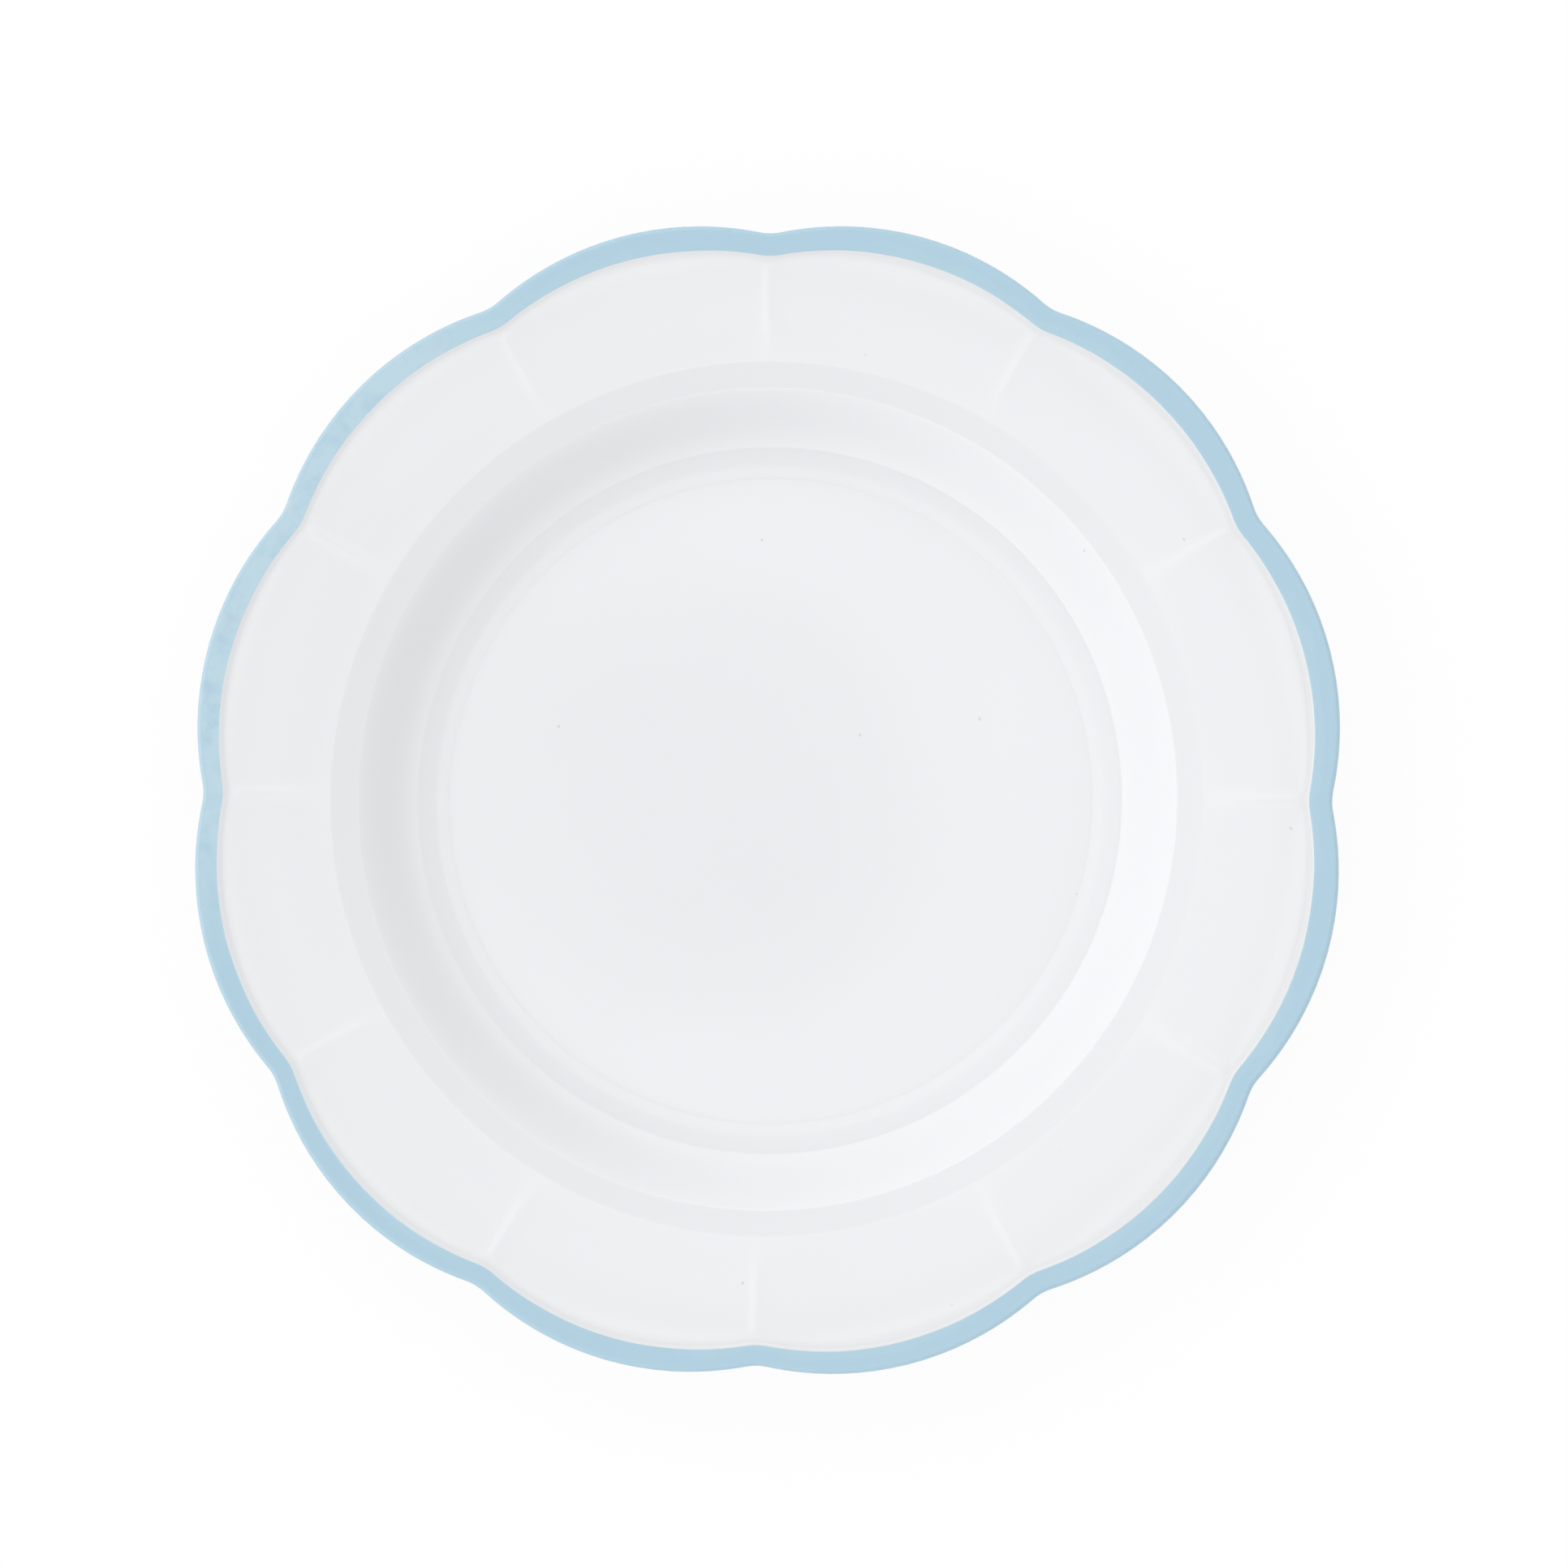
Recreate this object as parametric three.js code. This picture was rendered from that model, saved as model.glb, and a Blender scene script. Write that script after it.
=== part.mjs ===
// A scalloped charger plate of glazed ceramic, in millimetres with +Z up.
// The origin is on the table, at the centre of the foot ring, and a notch of the rim lies on +X.
// The clay body and each field of glaze fired on to it are separate solids that lie face to face.

import * as THREE from 'three';

// Outline, seen from above
const plateDiameter = 330; // across two opposite lobes, over the glaze
const lobeCount = 12;
const lobeRadius = 87; // of the arc that each lobe's edge follows
const notchRadius = 16; // of the arc that joins two lobes

// Glaze
const glazeThickness = 0.4;
const bandWidth = 6.9; // coloured band on the face, from the lip inwards
const bandTuck = 1.5; // how far the band runs on under the lip

// Widths along the face, from the centre outwards; the rim takes what is left up to the band
const floorRadius = 96.4;
const ringWidth = 4.5; // sloping ring between the floor and the wall
const wallWidth = 15.8; // wall of the well
const shoulderWidth = 7.4; // sloping shoulder at the top of the wall
const flankWidth = 2.2; // inner flank of the raised lip, beside the band

// Heights of the clay body, from the table upwards
const baseHeight = 3; // hollow of the base inside the foot ring
const floorThickness = 5;
const ringRise = 1.2;
const wallRise = 10.4;
const shoulderRise = 1.85;
const rimRise = 2.9;
const rimCrown = 0.28; // how far the rim bows above a straight line
const flankRise = 0.5;
const lipRise = 0.2; // crown of the lip above the edge of the band

// Clay body
const bodyThickness = 4.6; // of the wall, the shoulder and the rim
const noseReach = 1.4; // how far the rounded edge of the lip bulges out
const wallEase = 0.74; // slope at both ends of the wall, as a share of its mean slope

// Foot ring
const footInset = 4; // outer side of the foot, inside the foot of the wall
const footWidth = 6;
const footSlope = 1.2; // width of the slopes beside the face that stands on the table
const bareHeight = 1.4; // height of the foot that is wiped clean of glaze
const baseSlope = 3; // width of the slope from the base down to the foot

// Ridges on the rim, one from each notch
const ridgeWidth = 6;
const ridgeHeight = 0.3;
const ridgeFade = 14; // length over which a ridge dies out towards the shoulder
const ridgeStop = 2.5; // length over which it dies out towards the lip

// Facets
const columnsPerLobe = 8;
const faceWallSteps = 3;
const backWallSteps = 2;
const rimSteps = 3;
const noseSteps = 4; // even, so that a corner lies on the plate's full diameter
const footSteps = 2;

// Radii and heights that follow
const plateRadius = plateDiameter / 2;
const bodyRadius = plateRadius - glazeThickness;
const bandRadius = plateRadius - bandWidth;
const flankRadius = bandRadius - flankWidth;
const ringRadius = floorRadius + ringWidth;
const wallRadius = ringRadius + wallWidth;
const shoulderRadius = wallRadius + shoulderWidth;
const footRadius = ringRadius - footInset;
const footInnerRadius = footRadius - footWidth;
const floorHeight = baseHeight + floorThickness;
const ringHeight = floorHeight + ringRise;
const wallHeight = ringHeight + wallRise;
const shoulderHeight = wallHeight + shoulderRise;
const rimHeight = shoulderHeight + rimRise;
const bandHeight = rimHeight + flankRise;
const lipHeight = bandHeight + lipRise;
const lobePitch = (2 * Math.PI) / lobeCount;
const ridgeAngle = ridgeWidth / (shoulderRadius + flankRadius); // half a ridge, seen from the axis

// A point of the section: x is the radius and y the height.
const at = (radius, height) => new THREE.Vector2(radius, height);
const up = at(0, 1);
const down = at(0, -1);
const outward = at(1, 0);
const inward = at(-1, 0);

// Points of a bend that leaves start and reaches end along the two sides of corner.
function bend(start, corner, end, steps) {
  return new THREE.QuadraticBezierCurve(start, corner, end).getPoints(steps);
}

// Unit vector to the right of the way from one point to the next.
function rightOf(from, to) {
  const way = to.clone().sub(from).normalize();
  return at(way.y, -way.x);
}

// The line of points, moved to the right of its way by a thickness, with mitred corners.
// The first and last points move along firstWay and lastWay where these are given.
function offset(points, thickness, firstWay, lastWay) {
  const last = points.length - 1;
  return points.map((point, index) => {
    const before = index > 0 ? rightOf(points[index - 1], point) : null;
    const after = index < last ? rightOf(point, points[index + 1]) : null;
    let way = (before ?? after).clone();
    if (before && after) {
      way.add(after).divideScalar(1 + before.dot(after));
    }
    if (index === 0 && firstWay) {
      way = firstWay;
    }
    if (index === last && lastWay) {
      way = lastWay;
    }
    return point.clone().addScaledVector(way, thickness);
  });
}

// The wall of the well: an S-curve, steeper in the middle than at its ends.
function wallPoints(steps) {
  const run = wallWidth / 3;
  const climb = (wallRise * wallEase) / 3;
  const curve = new THREE.CubicBezierCurve(
    at(ringRadius, ringHeight),
    at(ringRadius + run, ringHeight + climb),
    at(wallRadius - run, wallHeight - climb),
    at(wallRadius, wallHeight),
  );
  return curve.getPoints(steps);
}

// The rim, from the shoulder to the flank of the lip, bowed up a little.
function rimPoints() {
  const start = at(shoulderRadius, shoulderHeight);
  const end = at(flankRadius, rimHeight);
  const corner = start.clone().lerp(end, 0.5);
  corner.y += 2 * rimCrown;
  return bend(start, corner, end, rimSteps);
}

// The eating face of the clay body, from the centre to the band.
function facePoints() {
  const floor = [at(0, floorHeight), at(floorRadius, floorHeight)];
  return [...floor, ...wallPoints(faceWallSteps), ...rimPoints(), at(bandRadius, bandHeight)];
}

// The hollow base inside the foot, from the centre to the edge of the glaze.
function basePoints() {
  const flatEnd = at(footInnerRadius - baseSlope, baseHeight);
  return [at(0, baseHeight), flatEnd, at(footInnerRadius, bareHeight)];
}

// The bare edge of the foot that stands on the table, between the two edges of glaze.
function footPoints() {
  const standInner = at(footInnerRadius + footSlope, 0);
  const standOuter = at(footRadius - footSlope, 0);
  return [at(footInnerRadius, bareHeight), standInner, standOuter, at(footRadius, bareHeight)];
}

// The end of the band under the lip, on the line from the nose to the underside of the rim.
function bandEnd(noseBottom, rimUnderside) {
  const way = rimUnderside.clone().sub(noseBottom).normalize();
  return noseBottom.clone().addScaledVector(way, bandTuck);
}

// The back of the plate, from the foot to the band's lower edge: the face moved by the body's thickness.
function backPoints(noseBottom) {
  const rim = [at(shoulderRadius, shoulderHeight), at(flankRadius, rimHeight)];
  const underside = offset([...wallPoints(backWallSteps), ...rim], bodyThickness);
  const footTop = at(footRadius, bareHeight);
  const corner = at(footRadius, (bareHeight + underside[0].y) / 2);
  const footBend = bend(footTop, corner, underside[0], footSteps);
  return [...footBend, ...underside.slice(1, -1), bandEnd(noseBottom, underside.at(-1))];
}

// The rounded lip, from the band's lower edge round the nose to its edge on the face.
function lipPoints(noseCentre, start) {
  const nose = new THREE.EllipseCurve(
    noseCentre.x, noseCentre.y, noseReach, bodyThickness / 2, -Math.PI / 2, Math.PI / 2,
  );
  return [start, ...nose.getPoints(noseSteps), at(bandRadius, bandHeight)];
}

// How far the plate's edge lies inside the circle round the lobes, at an angle from a notch.
function notchDip(fromNotch) {
  const halfPitch = lobePitch / 2;
  const lobeCentre = plateRadius - lobeRadius;
  const lobeAlong = lobeCentre * Math.cos(halfPitch);
  const lobeAcross = lobeCentre * Math.sin(halfPitch);
  const centresApart = lobeRadius + notchRadius;
  const notchCentre = lobeAlong + Math.sqrt(centresApart ** 2 - lobeAcross ** 2);
  const share = lobeRadius / centresApart;
  const tangentAlong = lobeAlong + (notchCentre - lobeAlong) * share;
  const tangentAngle = Math.atan2(lobeAcross * (1 - share), tangentAlong);
  if (fromNotch < tangentAngle) {
    const along = notchCentre * Math.cos(fromNotch);
    return plateRadius - along + Math.sqrt(notchRadius ** 2 - notchCentre ** 2 + along ** 2);
  }
  const along = lobeCentre * Math.cos(halfPitch - fromNotch);
  return plateRadius - along - Math.sqrt(lobeRadius ** 2 - lobeCentre ** 2 + along ** 2);
}

// How high a ridge stands at a radius of the section and an angle from its notch.
function ridgeLift(radius, fromNotch) {
  const across = Math.min(Math.abs(radius * Math.sin(fromNotch)) / ridgeWidth, 0.5);
  const rise = THREE.MathUtils.smoothstep(radius, shoulderRadius, shoulderRadius + ridgeFade);
  const fall = THREE.MathUtils.smoothstep(radius, flankRadius - ridgeStop, flankRadius);
  return ridgeHeight * Math.cos(Math.PI * across) ** 2 * rise * (1 - fall);
}

// Angle of a column of facets: one on each notch, one at each side of its ridge, the rest even.
function columnAngle(column) {
  const lobe = Math.floor(column / columnsPerLobe);
  const step = column % columnsPerLobe;
  const evenStep = (lobePitch - 2 * ridgeAngle) / (columnsPerLobe - 2);
  return lobe * lobePitch + (step === 0 ? 0 : ridgeAngle + (step - 1) * evenStep);
}

// Turns a section round the axis, then draws the rim in to the lobed outline and lifts the ridges.
// Points of the section that are in onFace carry the ridges.
function turn(section, onFace) {
  const geometry = new THREE.LatheGeometry(section, lobeCount * columnsPerLobe);
  const position = geometry.getAttribute('position');
  for (let index = 0; index < position.count; index += 1) {
    const point = section[index % section.length];
    const angle = columnAngle(Math.floor(index / section.length));
    const fromNotch = Math.abs(angle - lobePitch * Math.round(angle / lobePitch));
    const rimShare = (point.x - shoulderRadius) / (bodyRadius - shoulderRadius);
    const radius = point.x - notchDip(fromNotch) * THREE.MathUtils.clamp(rimShare, 0, 1);
    const lift = onFace.has(point) ? ridgeLift(point.x, fromNotch) : 0;
    position.setXYZ(index, radius * Math.cos(angle), radius * Math.sin(angle), point.y + lift);
  }
  geometry.computeVertexNormals();
  return geometry;
}

// A coat of glaze: the stretch of the body under it, joined to the same stretch moved outwards.
// The body's points keep their order, so the facets match, and the turned solid is then faced out.
function coat(stretch, firstWay, lastWay, carriesRidges) {
  const skin = offset(stretch, glazeThickness, firstWay, lastWay).reverse();
  const endsOnAxis = stretch.at(-1).x === 0;
  const startsOnAxis = stretch[0].x === 0;
  const loop = endsOnAxis ? [...skin, ...stretch] : [...stretch, ...skin];
  if (!endsOnAxis && !startsOnAxis) {
    loop.push(stretch[0]);
  }
  const geometry = turn(loop, new Set(carriesRidges ? loop : []));
  const corners = geometry.getIndex();
  for (let first = 0; first < corners.count; first += 3) {
    const second = corners.getX(first + 1);
    corners.setX(first + 1, corners.getX(first + 2));
    corners.setX(first + 2, second);
  }
  geometry.computeVertexNormals();
  return geometry;
}

function piece(name, geometry, material) {
  const mesh = new THREE.Mesh(geometry, new THREE.MeshStandardMaterial(material));
  mesh.name = name;
  return mesh;
}

const noseCentre = at(bodyRadius - noseReach, lipHeight - bodyThickness / 2);
const noseBottom = at(noseCentre.x, lipHeight - bodyThickness);
const base = basePoints();
const foot = footPoints();
const back = backPoints(noseBottom);
const lip = lipPoints(noseCentre, back.at(-1));
const face = facePoints().reverse();
const bodySection = [...base, ...foot.slice(1), ...back.slice(1), ...lip.slice(1), ...face.slice(1)];

const bareClay = { color: 0xe6ddcf, roughness: 0.85, metalness: 0 };
const whiteGlaze = { color: 0xf1f1f2, roughness: 0.15, metalness: 0 };
const blueGlaze = { color: 0xb4d2e2, roughness: 0.18, metalness: 0 };

const plate = new THREE.Group();
plate.add(
  piece('ceramic_body', turn(bodySection, new Set(face)), bareClay),
  piece('face_glaze', coat(face, up, up, true), whiteGlaze),
  piece('rim_band', coat(lip, down, up, false), blueGlaze),
  piece('back_glaze', coat(back, outward, down, false), whiteGlaze),
  piece('base_glaze', coat(base, down, inward, false), whiteGlaze),
);

export default plate;
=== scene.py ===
"""A scalloped charger plate of glazed ceramic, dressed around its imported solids.

The plate is one fired clay body with four fields of glaze: the face, the coloured band on the lip,
the back and the base inside the foot ring. Each is a closed mesh, turned from one fine section.
Lengths are in metres, +Z is up, and the origin is on the table at the centre of the foot ring.
"""

import math

import bpy
import numpy as np
from bpy.props import FloatProperty, FloatVectorProperty, IntProperty, PointerProperty
from mathutils import Matrix, Vector


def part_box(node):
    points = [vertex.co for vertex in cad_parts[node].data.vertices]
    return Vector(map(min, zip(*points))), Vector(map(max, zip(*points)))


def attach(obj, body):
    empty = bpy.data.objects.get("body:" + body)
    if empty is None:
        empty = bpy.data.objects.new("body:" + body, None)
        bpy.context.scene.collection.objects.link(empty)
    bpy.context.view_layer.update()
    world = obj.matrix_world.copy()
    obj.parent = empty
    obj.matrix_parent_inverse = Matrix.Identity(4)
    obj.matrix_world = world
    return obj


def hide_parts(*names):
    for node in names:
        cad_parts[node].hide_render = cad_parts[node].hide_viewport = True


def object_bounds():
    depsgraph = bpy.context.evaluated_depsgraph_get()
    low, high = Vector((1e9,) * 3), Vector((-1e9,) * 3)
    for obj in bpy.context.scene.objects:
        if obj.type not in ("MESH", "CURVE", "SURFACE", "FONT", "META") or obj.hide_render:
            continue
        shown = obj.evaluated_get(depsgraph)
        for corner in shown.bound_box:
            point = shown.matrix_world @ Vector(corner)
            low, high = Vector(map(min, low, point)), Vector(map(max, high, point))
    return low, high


bl_info = {
    "name": "Scalloped charger plate",
    "version": (1, 0, 0),
    "blender": (4, 5, 0),
    "location": "View3D > Sidebar > Plate",
    "description": "Builds a glazed ceramic charger plate with a lobed rim, and a studio stage for it",
    "category": "Add Mesh",
}

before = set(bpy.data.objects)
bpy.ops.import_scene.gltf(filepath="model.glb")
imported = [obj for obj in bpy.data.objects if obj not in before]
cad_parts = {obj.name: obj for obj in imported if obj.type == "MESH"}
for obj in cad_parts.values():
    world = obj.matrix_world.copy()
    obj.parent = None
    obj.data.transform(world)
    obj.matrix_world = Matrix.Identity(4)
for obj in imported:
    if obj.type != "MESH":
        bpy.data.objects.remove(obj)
cad_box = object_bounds()

MM = 0.001
BODY = "root"

# Sizes that the solids give
body_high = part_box("ceramic_body")[1]
face_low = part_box("face_glaze")[0]
base_low, base_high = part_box("base_glaze")
frame_reach = cad_box[1].x
lip_height = body_high.z
glaze_thickness = cad_box[1].z - body_high.z
floor_height = face_low.z
base_height = base_high.z
bare_height = base_low.z
foot_inner_radius = base_high.x

# Fineness of the meshes
CURVE_POINTS = 120  # of each curved line of the section
SECTION_STEP = 0.1 * MM  # between points of the section before rows are chosen from it
FLAT_ROW = 12 * MM  # longest step between rows on the flat floor and base
BENT_ROW = 1.2 * MM  # longest step between rows elsewhere
HIDDEN_ROW = 8 * MM  # longest step between rows that another piece covers
ROW_TURN = math.radians(1.5)  # most that the section turns from row to row
HIDDEN_TURN = math.radians(12)  # the same where another piece covers the rows
COLUMNS_PER_LOBE = 32
NOTCH_CROWDING = 0.8  # how far the columns crowd together at a notch, below 1
SHARP_ANGLE = math.radians(40)

# Where melted glaze pools, and where painted shade darkens the creases
HOLLOW_REACH = 2 * MM  # length of the section over which a hollow is judged
HOLLOW_CURVE = 60  # radians a metre that the section turns in a full hollow

# Bends of the section and fit of the outline
TURN_CORNER = 0.1  # place of the corner of the floor's turn, as a share of its width
FLANK_CORNER = 0.5  # the same for the lip's flank
FIT_ROUNDS = 8  # rounds in which the outline is fitted to the solids
TINY = 1e-9

GLAZE_IOR = 1.5  # of both glazes

# Marks in the white glaze
THICK_PATCH = 70 * MM  # patches where it lies thicker
FLANK_SHADE_EDGE = 3.6 * MM  # strip beside the band that is greyer: painted shade in the hollow flank of the lip
FLANK_SHADE_FADE = 20 * MM  # wider strip with a little painted shade
SPECK_CELL = 30 * MM  # cells, some of which hold a speck
SPECK_CHANCE = 0.17  # share of the cells with a speck
SPECK_RADIUS = 0.008  # of the smallest speck, as a share of its cell
SPECK_SPREAD = 0.010  # added to that for the largest speck
SPECK_GRAIN = 0.7 * MM  # size of the dents in a speck's outline
SPECK_UNEVEN = 0.016  # depth of those dents, as a share of the cell
PEEL_WAVE = 2.2 * MM  # waves of the skin
PEEL_DEPTH = 0.01 * MM
SMUDGE_PATCH = 25 * MM  # patches that are less glossy

# Marks in the blue glaze
WASH_PATCH = 8 * MM  # unevenness of the thin inner edge
WASH_SHIFT = 6 * MM  # how far that moves the thin edge in and out
THIN_PATCH = 45 * MM  # stretches where the inner edge is thin
DEEP_CLOUD = 7 * MM  # clouds where the glaze is thick
GLINT_PATCH = 11 * MM  # patches of painted highlight on the outer part of the band, on the side toward the window
STREAKS_ROUND = 40  # brush streaks to a metre, round the rim
STREAKS_ACROSS = 1600  # brush streaks to a metre, across the band
STREAK_DEPTH = 0.02 * MM

# Marks in the bare clay
CLAY_GRAIN = 0.5 * MM
GRAIN_DEPTH = 0.05 * MM
CLAY_STAIN = 14 * MM
WORN_HEIGHT = 0.4 * MM  # height above the table up to which the foot is worn

# Stage
PIXELS = 1932  # along each side of the picture
PAPER = (0.9, 0.9, 0.9, 1)  # of the floor, where light falls on it
PLAIN_WHITE = (1, 1, 1, 1)  # of the floor as the camera sees it, and of the light
WINDOW_FADE = 0.6  # its light fades between plus and minus this cosine of the angle from it


def length(name, description, default):
    return FloatProperty(name=name, description=description, default=default, unit="LENGTH", precision=5)


def colour(name, description, default):
    return FloatVectorProperty(
        name=name, description=description, default=default, subtype="COLOR", size=3, min=0, max=1
    )


def share(name, description, default):
    return FloatProperty(
        name=name, description=description, default=default, subtype="FACTOR", min=0, max=1
    )


def angle(name, description, default):
    default = math.radians(default)
    return FloatProperty(name=name, description=description, default=default, subtype="ANGLE")


def level(name, description, default):
    return FloatProperty(name=name, description=description, default=default, min=0)


class PlateSizes(bpy.types.PropertyGroup):
    """Sizes of the clay body's section and outline."""

    lobe_count: IntProperty(name="Lobes", description="Lobes round the rim", default=12, min=3)
    lobe_radius: length("Lobe radius", "Radius of the arc of each lobe's edge", 87 * MM)
    notch_radius: length("Notch radius", "Radius of the arc that joins two lobes", 16 * MM)
    band_width: length("Band width", "Coloured band on the face, from the lip inwards", 6.9 * MM)
    band_tuck: length("Band tuck", "How far the band runs on under the lip", 1.5 * MM)
    floor_radius: length("Floor radius", "Floor of the well, up to the ring", 95.5 * MM)
    ring_width: length("Ring width", "Sloping ring between the floor and the wall", 5.2 * MM)
    wall_width: length("Wall width", "Wall of the well, seen from above", 16 * MM)
    shoulder_width: length("Shoulder width", "Sloping shoulder at the top of the wall", 7.4 * MM)
    flank_width: length("Flank width", "Inner flank of the raised lip, beside the band", 2.2 * MM)
    turn_width: length("Turn width", "Outermost part of the floor, which turns up a little", 3.4 * MM)
    turn_rise: length("Turn rise", "Height that the floor climbs in its turn", 0.55 * MM)
    ring_rise: length("Ring rise", "Height from the floor to the top of the ring", 1.69 * MM)
    shoulder_rise: length("Shoulder rise", "Height that the shoulder climbs", 1.85 * MM)
    rim_rise: length("Rim rise", "Height that the rim climbs", 2.9 * MM)
    rim_crown: length("Rim crown", "How far the rim bows above a straight line", 0.28 * MM)
    flank_rise: length("Flank rise", "Height that the lip's flank climbs", 0.5 * MM)
    lip_rise: length("Lip rise", "Crown of the lip above the edge of the band", 0.2 * MM)
    wall_foot_ease: share("Wall foot", "Slope at the foot of the wall, as a share of its mean slope", 0.6)
    wall_top_ease: share("Wall top", "Slope at the top of the wall, as a share of its mean slope", 0.9)
    body_thickness: length("Body thickness", "Of the wall, the shoulder and the rim", 4.6 * MM)
    nose_reach: length("Nose reach", "How far the rounded edge of the lip bulges out", 0.9 * MM)
    nose_drop: length("Nose drop", "Height from that bulge to the top of the lip", 1.1 * MM)
    foot_width: length("Foot width", "Foot ring, measured where its glaze ends", 6 * MM)
    foot_slope: length("Foot slope", "Slopes beside the face that stands on the table", 1.2 * MM)
    base_slope: length("Base slope", "Slope from the base down to the foot", 3 * MM)
    ridge_width: length("Ridge width", "Width of the ridge that runs in from each notch", 6 * MM)
    ridge_height: length("Ridge height", "Height of the ridges", 0.3 * MM)
    ridge_fade: length("Ridge fade", "Length over which a ridge dies out towards the shoulder", 14 * MM)
    ridge_stop: length("Ridge stop", "Length over which a ridge dies out towards the lip", 2.5 * MM)
    crease_reach: length("Crease reach", "How far the melted glaze rounds each crease", 0.55 * MM)
    bead_width: length("Bead width", "Rounded edge of the glaze beside the bare foot", 0.9 * MM)
    brush_wander: length("Brush wander", "How far the painted edge of the band wanders", 0.18 * MM)
    brush_offset: length("Brush offset", "How far the band's painted edge lies off the centre", 0.5 * MM)
    brush_side: angle("Brush side", "Side where that makes the band widest, from +X", 60)
    brush_reach: length("Brush reach", "How far from the painted edge the surface shifts with it", 2 * MM)


class GlazeLooks(bpy.types.PropertyGroup):
    """Colours and finish of the clay and the glazes."""

    white: colour("White glaze", "White glaze where it lies even", (0.777, 0.783, 0.800))
    # Also the colour of the painted shade in the creases, besides the glaze's thicker patches
    white_thick_and_shaded: colour("White shade", "White glaze where it lies thick", (0.736, 0.745, 0.760))
    # Painted shade beside the band, where the lip's flank dips in
    white_flank_shade: colour("Thin white", "White glaze where it runs out against the band", (0.717, 0.723, 0.738))
    white_roughness: share("White roughness", "Roughness of the white glaze", 0.05)
    speck: colour("Specks", "Iron specks and pinholes in the white glaze", (0.42, 0.44, 0.46))
    blue: colour("Blue glaze", "Coloured band where it lies even", (0.40, 0.573, 0.681))
    # Also the colour of the painted light on the band's side toward the window
    blue_pale: colour("Pale blue", "Brush streaks, where the band's glaze is thin", (0.472, 0.632, 0.716))
    blue_deep: colour("Deep blue", "Drops, where the band's glaze is thick", (0.365, 0.543, 0.671))
    # Side where the band is painted paler, as painted light from the window
    painted_light_side: angle("Thin side", "Side where the band's glaze is thin, from +X", 155)
    blue_roughness: share("Blue roughness", "Roughness of the blue glaze", 0.08)
    clay: colour("Clay", "Fired clay, bare on the foot", (0.70, 0.62, 0.50))
    clay_dark: colour("Dark clay", "Grains and stains of the bare clay", (0.48, 0.38, 0.27))
    clay_roughness: share("Clay roughness", "Roughness of the bare clay", 0.85)


class StageSettings(bpy.types.PropertyGroup):
    """Camera and light of the studio stage."""

    camera_distance: length("Camera distance", "From the camera to the rim", 2.0)
    camera_lean: angle("Camera lean", "Lean of the view from straight down", 6.2)
    camera_azimuth: angle("Camera azimuth", "Side that the camera leans to, from +X", -28)
    camera_roll: angle("Camera roll", "Turn of the picture", 0.7)
    picture_width: length("Picture width", "Real width of the picture at the rim", 443.3 * MM)
    aim_height: length("Aim height", "Height of the point that the camera aims at", 23.3 * MM)
    aim_right: share("Aim across", "Place of the aim in the picture, from its left side", 941 / PIXELS)
    aim_down: share("Aim down", "Place of the aim in the picture, from its top", 982.5 / PIXELS)
    dome_lean: angle("Dome lean", "Lean of the dome's axis from straight up", 6.6)
    dome_azimuth: angle("Dome azimuth", "Side that the dome's axis leans to, from +X", 154.4)
    window_azimuth: angle("Window azimuth", "Side that the dome is brighter on, from +X", 165)
    dome_strength: level("Dome strength", "Level of all the light", 1.0)
    spot_level: level("Spot level", "Light close round the lens", 1.15)
    panel_level: level("Panel level", "Light of the panel overhead", 0.5)
    edge_level: level("Panel edge level", "Light of the panel's edge", 1.08)
    gap_level: level("Gap level", "Light of the gap between the panel and the lamps", 0.12)
    lamp_level: level("Lamp level", "Light of the ring of lamps", 1.5)
    shade_level: level("Shade level", "Light between the lamps and the walls", 0.67)
    wall_level: level("Wall level", "Light of the walls of the room", 0.8)
    window_level: level("Window level", "Light that the window adds", 0.9)
    curtain_level: level("Curtain level", "Light that the curtain over the window adds", 0.5)
    reflector_level: level("Reflector level", "Light that the reflector adds", 0.18)
    floor_size: length("Floor size", "Length of the floor's sides", 40.0)
    floor_gap: length("Floor gap", "How far the floor lies below the foot", 0.05 * MM)
    floor_glow: share("Floor glow", "How far the floor shows plain white to the camera", 0.92)


# Sockets of a Mix node that take and give colours, which share their names with those for numbers
MIX_FIRST = 6
MIX_SECOND = 7
MIX_RESULT = 2


class Link:
    """An output socket of a node tree. Arithmetic on it adds Math nodes."""

    def __init__(self, graph, socket):
        self.graph = graph
        self.socket = socket

    def math(self, operation, first, second=0.0):
        return self.graph.node("ShaderNodeMath", {"operation": operation}, {0: first, 1: second})

    def __add__(self, other):
        return self.math("ADD", self, other)

    def __radd__(self, other):
        return self.math("ADD", other, self)

    def __sub__(self, other):
        return self.math("SUBTRACT", self, other)

    def __rsub__(self, other):
        return self.math("SUBTRACT", other, self)

    def __mul__(self, other):
        return self.math("MULTIPLY", self, other)

    def __rmul__(self, other):
        return self.math("MULTIPLY", other, self)

    def __truediv__(self, other):
        return self.math("DIVIDE", self, other)

    def __rtruediv__(self, other):
        return self.math("DIVIDE", other, self)


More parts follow.
